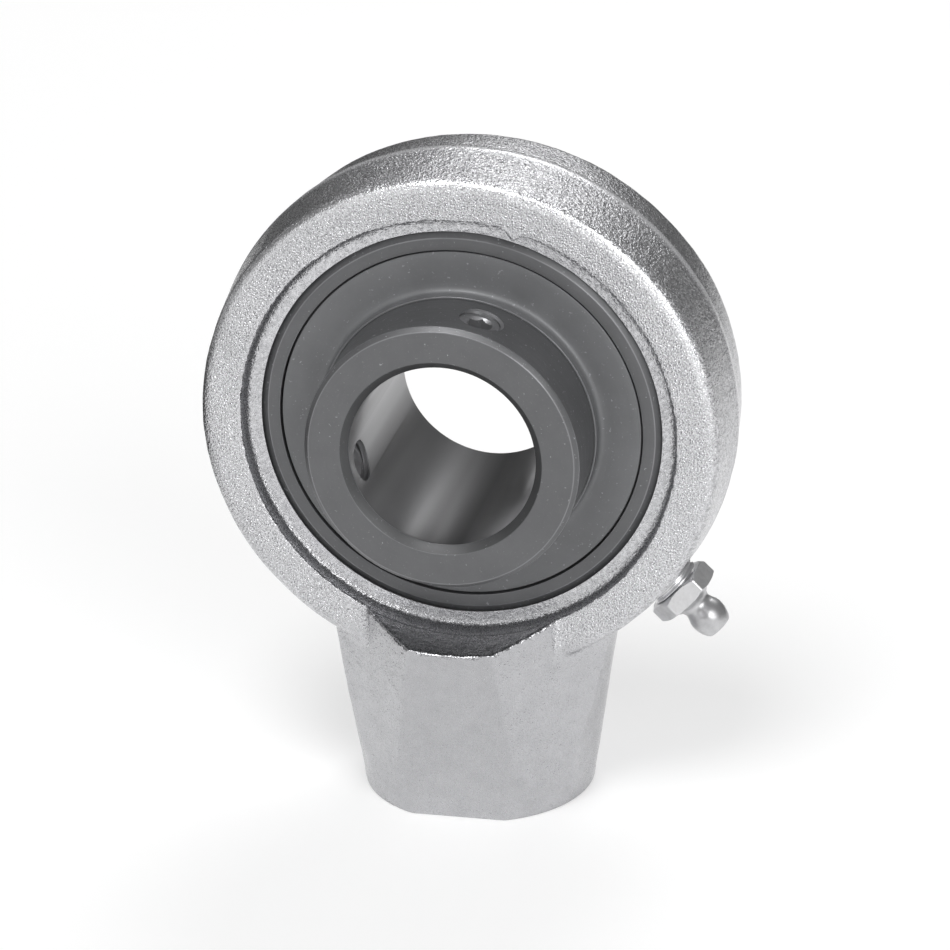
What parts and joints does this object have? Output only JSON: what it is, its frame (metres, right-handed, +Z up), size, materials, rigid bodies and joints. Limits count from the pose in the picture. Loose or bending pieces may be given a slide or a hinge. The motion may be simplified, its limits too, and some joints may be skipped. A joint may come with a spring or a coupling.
{
  "type": "hanger bearing unit",
  "caption": "Ball bearing insert held in a cast ring on a threaded pipe boss, with a grease nipple and set screws, for hanging a shaft from a pipe.",
  "frame": {"origin": "centre of the spherical seat, which is also on the shaft axis", "axes": "+Y along the shaft, away from the set screws; +Z up, away from the pipe boss; +X to the side of the grease nipple"},
  "size_m": [0.0922, 0.0478, 0.1161],
  "materials": {
    "zinc_casting": "bright zinc plate over a fine sandy casting, slightly sparkling, mottled by handling",
    "nipple_zinc": "bright zinc-plated turned steel",
    "ring_steel": "ground, blackened and oiled bearing steel, satin",
    "flinger_steel": "pressed steel, dull satin with a brighter worn lip",
    "screw_steel": "black-oxide steel",
    "ball_steel": "polished bearing steel",
    "cage_steel": "pressed mild steel, oiled",
    "spring_steel": "drawn spring wire",
    "seal_rubber": "matt black nitrile rubber"
  },
  "bodies": {
    "housing": {"housing": "zinc_casting", "nipple_body": "nipple_zinc", "nipple_spring": "spring_steel"},
    "nipple_ball": {"nipple_ball": "ball_steel"},
    "insert": {"outer_ring": "ring_steel", "seal_front": "seal_rubber", "seal_back": "seal_rubber"},
    "inner": {"inner_ring": "ring_steel", "flinger_front": "flinger_steel", "flinger_back": "flinger_steel"},
    "cage": {"cage_front": "cage_steel", "cage_back": "cage_steel", "cage_rivets": "cage_steel"},
    "set_screw_1": {"set_screw_1": "screw_steel"},
    "set_screw_2": {"set_screw_2": "screw_steel"},
    "ball_1": {"ball_1": "ball_steel"},
    "ball_2": {"ball_2": "ball_steel"},
    "ball_3": {"ball_3": "ball_steel"},
    "ball_4": {"ball_4": "ball_steel"},
    "ball_5": {"ball_5": "ball_steel"},
    "ball_6": {"ball_6": "ball_steel"},
    "ball_7": {"ball_7": "ball_steel"},
    "ball_8": {"ball_8": "ball_steel"},
    "ball_9": {"ball_9": "ball_steel"}
  },
  "joints": [
    {"name": "insert_swivel", "type": "hinge", "parent": "housing", "child": "insert", "pos_m": [0, 0, 0], "axis": [1, 0, 0], "range_deg": [-2, 2]},
    {"name": "shaft_spin", "type": "hinge", "parent": "insert", "child": "inner", "pos_m": [0, 0, 0], "axis": [0, 1, 0], "continuous": true},
    {"name": "cage_spin", "type": "hinge", "parent": "insert", "child": "cage", "pos_m": [0, 0, 0], "axis": [0, 1, 0], "continuous": true},
    {"name": "ball_1_spin", "type": "hinge", "parent": "cage", "child": "ball_1", "pos_m": [0, 0, 0.02675], "axis": [0, 1, 0], "continuous": true},
    {"name": "ball_2_spin", "type": "hinge", "parent": "cage", "child": "ball_2", "pos_m": [-0.01719, 0, 0.02049], "axis": [0, 1, 0], "continuous": true},
    {"name": "ball_3_spin", "type": "hinge", "parent": "cage", "child": "ball_3", "pos_m": [-0.02634, 0, 0.00465], "axis": [0, 1, 0], "continuous": true},
    {"name": "ball_4_spin", "type": "hinge", "parent": "cage", "child": "ball_4", "pos_m": [-0.02317, 0, -0.01337], "axis": [0, 1, 0], "continuous": true},
    {"name": "ball_5_spin", "type": "hinge", "parent": "cage", "child": "ball_5", "pos_m": [-0.00915, 0, -0.02514], "axis": [0, 1, 0], "continuous": true},
    {"name": "ball_6_spin", "type": "hinge", "parent": "cage", "child": "ball_6", "pos_m": [0.00915, 0, -0.02514], "axis": [0, 1, 0], "continuous": true},
    {"name": "ball_7_spin", "type": "hinge", "parent": "cage", "child": "ball_7", "pos_m": [0.02317, 0, -0.01337], "axis": [0, 1, 0], "continuous": true},
    {"name": "ball_8_spin", "type": "hinge", "parent": "cage", "child": "ball_8", "pos_m": [0.02634, 0, 0.00465], "axis": [0, 1, 0], "continuous": true},
    {"name": "ball_9_spin", "type": "hinge", "parent": "cage", "child": "ball_9", "pos_m": [0.01719, 0, 0.02049], "axis": [0, 1, 0], "continuous": true},
    {"name": "set_screw_1_travel", "type": "slide", "parent": "inner", "child": "set_screw_1", "axis": [-0.2504, 0, -0.9681], "range_m": [-0.0025, 0.0008]},
    {"name": "set_screw_2_travel", "type": "slide", "parent": "inner", "child": "set_screw_2", "axis": [0.9636, 0, 0.2672], "range_m": [-0.0025, 0.0008]},
    {"name": "nipple_ball_press", "type": "slide", "parent": "housing", "child": "nipple_ball", "axis": [-0.7133, 0, 0.7009], "range_m": [0, 0.0012], "stiffness_N_per_m": 500, "springref_m": -0.001, "deforming": ["nipple_spring"]}
  ],
  "couplings": [
    {"joint": "cage_spin", "follows": "shaft_spin", "ratio": 0.39615},
    {"joint": "ball_1_spin", "follows": "shaft_spin", "ratio": -2.3033},
    {"joint": "ball_2_spin", "follows": "shaft_spin", "ratio": -2.3033},
    {"joint": "ball_3_spin", "follows": "shaft_spin", "ratio": -2.3033},
    {"joint": "ball_4_spin", "follows": "shaft_spin", "ratio": -2.3033},
    {"joint": "ball_5_spin", "follows": "shaft_spin", "ratio": -2.3033},
    {"joint": "ball_6_spin", "follows": "shaft_spin", "ratio": -2.3033},
    {"joint": "ball_7_spin", "follows": "shaft_spin", "ratio": -2.3033},
    {"joint": "ball_8_spin", "follows": "shaft_spin", "ratio": -2.3033},
    {"joint": "ball_9_spin", "follows": "shaft_spin", "ratio": -2.3033}
  ]
}
